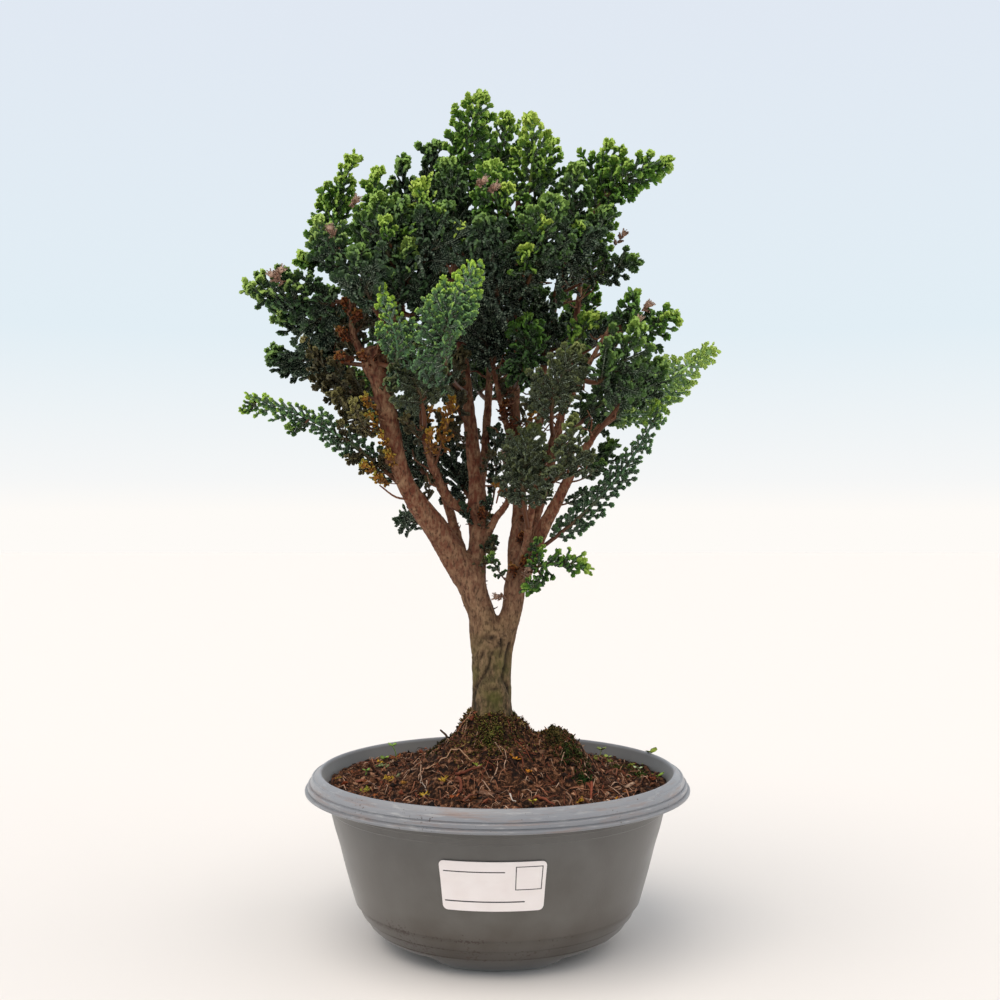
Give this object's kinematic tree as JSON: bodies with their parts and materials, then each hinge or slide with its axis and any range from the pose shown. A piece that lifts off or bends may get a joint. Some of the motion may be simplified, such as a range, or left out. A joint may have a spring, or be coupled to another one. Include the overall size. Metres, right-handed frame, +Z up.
{
  "type": "hinoki cypress bonsai",
  "caption": "Small twin-trunk hinoki cypress with an upright, fan-shaped crown of ferny scale-leaf sprays, standing in soil in a low round plastic bowl on short feet.",
  "frame": {"origin": "on the ground under the axis of the round pot, which is also the centre of the bounding box", "axes": "+Z up, -Y towards the front with the label, +X to the right seen from the front"},
  "size_m": [0.2504, 0.201, 0.4468],
  "materials": {
    "pot_plastic": "moulded grey polypropylene, satin, scuffed at the lip",
    "label_film": "smooth self-adhesive film, off-white",
    "soil_mix": "damp crumbly peat and bark",
    "bark": "thin reddish-brown bark, flaking on the branches",
    "foliage_dark": "waxy scale leaves, deep blue-green",
    "foliage_mid": "waxy scale leaves, mid green",
    "foliage_fresh": "waxy scale leaves, green with lighter tips",
    "foliage_bright": "new scale leaves, yellow-green",
    "foliage_grey": "undersides of the sprays, green netted with pale grey",
    "foliage_olive": "older inner scale leaves, olive brown",
    "foliage_gold": "dying inner scale leaves, orange-yellow"
  },
  "bodies": {
    "root": {"pot": "pot_plastic", "label": "label_film", "soil": "soil_mix", "trunk_and_branches": "bark", "left_bough_spray_1": "foliage_fresh", "left_bough_spray_2": "foliage_dark", "left_bough_spray_3": "foliage_olive", "left_bough_spray_4": "foliage_olive", "left_bough_spray_5": "foliage_fresh", "left_bough_spray_6": "foliage_dark", "left_riser_spray_1": "foliage_fresh", "left_riser_spray_2": "foliage_fresh", "left_riser_spray_3": "foliage_fresh", "left_riser_spray_4": "foliage_bright", "left_crown_spray_1": "foliage_dark", "left_crown_spray_2": "foliage_mid", "left_crown_spray_3": "foliage_bright", "left_crown_spray_4": "foliage_dark", "left_crown_spray_5": "foliage_dark", "left_leader_spray_1": "foliage_fresh", "left_leader_spray_2": "foliage_dark", "left_leader_spray_3": "foliage_mid", "left_leader_spray_4": "foliage_bright", "left_leader_spray_5": "foliage_gold", "left_leader_spray_6": "foliage_dark", "left_leader_spray_7": "foliage_dark", "inner_left_spray_1": "foliage_grey", "inner_left_spray_2": "foliage_gold", "centre_slip_spray_1": "foliage_grey", "inner_right_spray_1": "foliage_dark", "middle_leader_spray_1": "foliage_bright", "middle_leader_spray_2": "foliage_fresh", "middle_leader_spray_3": "foliage_fresh", "middle_leader_spray_4": "foliage_mid", "middle_leader_spray_5": "foliage_dark", "middle_leader_spray_6": "foliage_mid", "right_leader_spray_1": "foliage_fresh", "right_leader_spray_2": "foliage_mid", "right_leader_spray_3": "foliage_mid", "right_leader_spray_4": "foliage_dark", "right_leader_spray_5": "foliage_mid", "right_leader_spray_6": "foliage_grey", "right_bough_spray_1": "foliage_fresh", "right_bough_spray_2": "foliage_mid", "right_bough_spray_3": "foliage_mid", "right_bough_spray_4": "foliage_fresh", "front_right_spray_1": "foliage_grey", "front_right_spray_2": "foliage_grey", "front_right_spray_3": "foliage_grey", "front_right_spray_4": "foliage_mid", "front_right_spray_5": "foliage_fresh", "right_trunk_spray_1": "foliage_fresh", "rear_left_spray_1": "foliage_dark", "rear_left_spray_2": "foliage_mid", "rear_left_spray_3": "foliage_fresh", "rear_centre_spray_1": "foliage_mid", "rear_centre_spray_2": "foliage_mid", "rear_centre_spray_3": "foliage_fresh", "rear_right_spray_1": "foliage_mid", "rear_right_spray_2": "foliage_fresh"}
  },
  "joints": []
}
